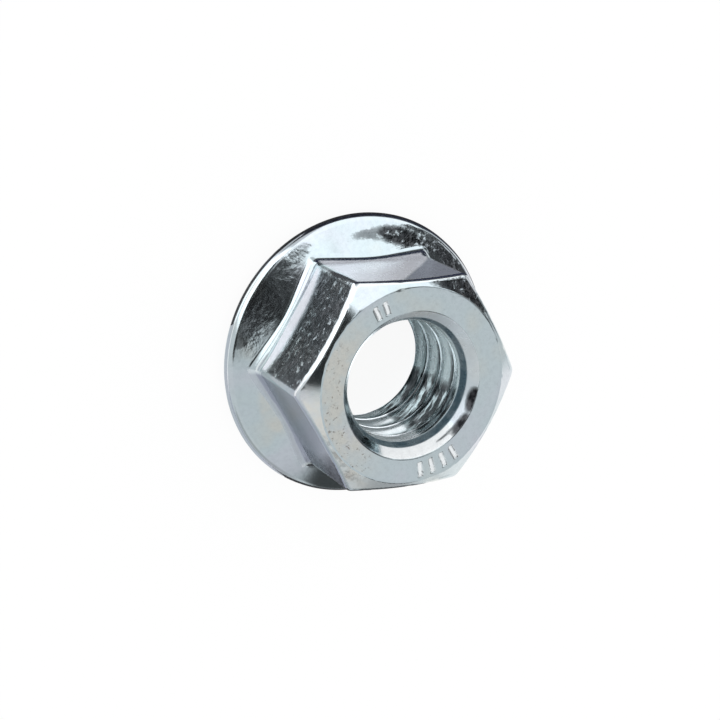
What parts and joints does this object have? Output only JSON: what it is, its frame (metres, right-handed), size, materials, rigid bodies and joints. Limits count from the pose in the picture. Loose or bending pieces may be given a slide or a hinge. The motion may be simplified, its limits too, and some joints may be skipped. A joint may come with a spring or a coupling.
{
  "type": "serrated flange nut",
  "caption": "Hexagon nut with a wide built-in flange, a chamfered crown, a countersunk threaded bore and ratchet teeth on its bearing face.",
  "frame": {"origin": "centre of the bearing face, on the axis of the thread, where the nut stands", "axes": "+Z along the thread's axis from the bearing face to the nose face, +X through a corner of the hexagon"},
  "size_m": [0.021, 0.021, 0.0097],
  "materials": {
    "zinc_steel": "bright blue-white passivated zinc plate on cold-formed steel, satin with a faint tint and small marks"
  },
  "bodies": {
    "root": {"flange_nut": "zinc_steel"}
  },
  "joints": []
}
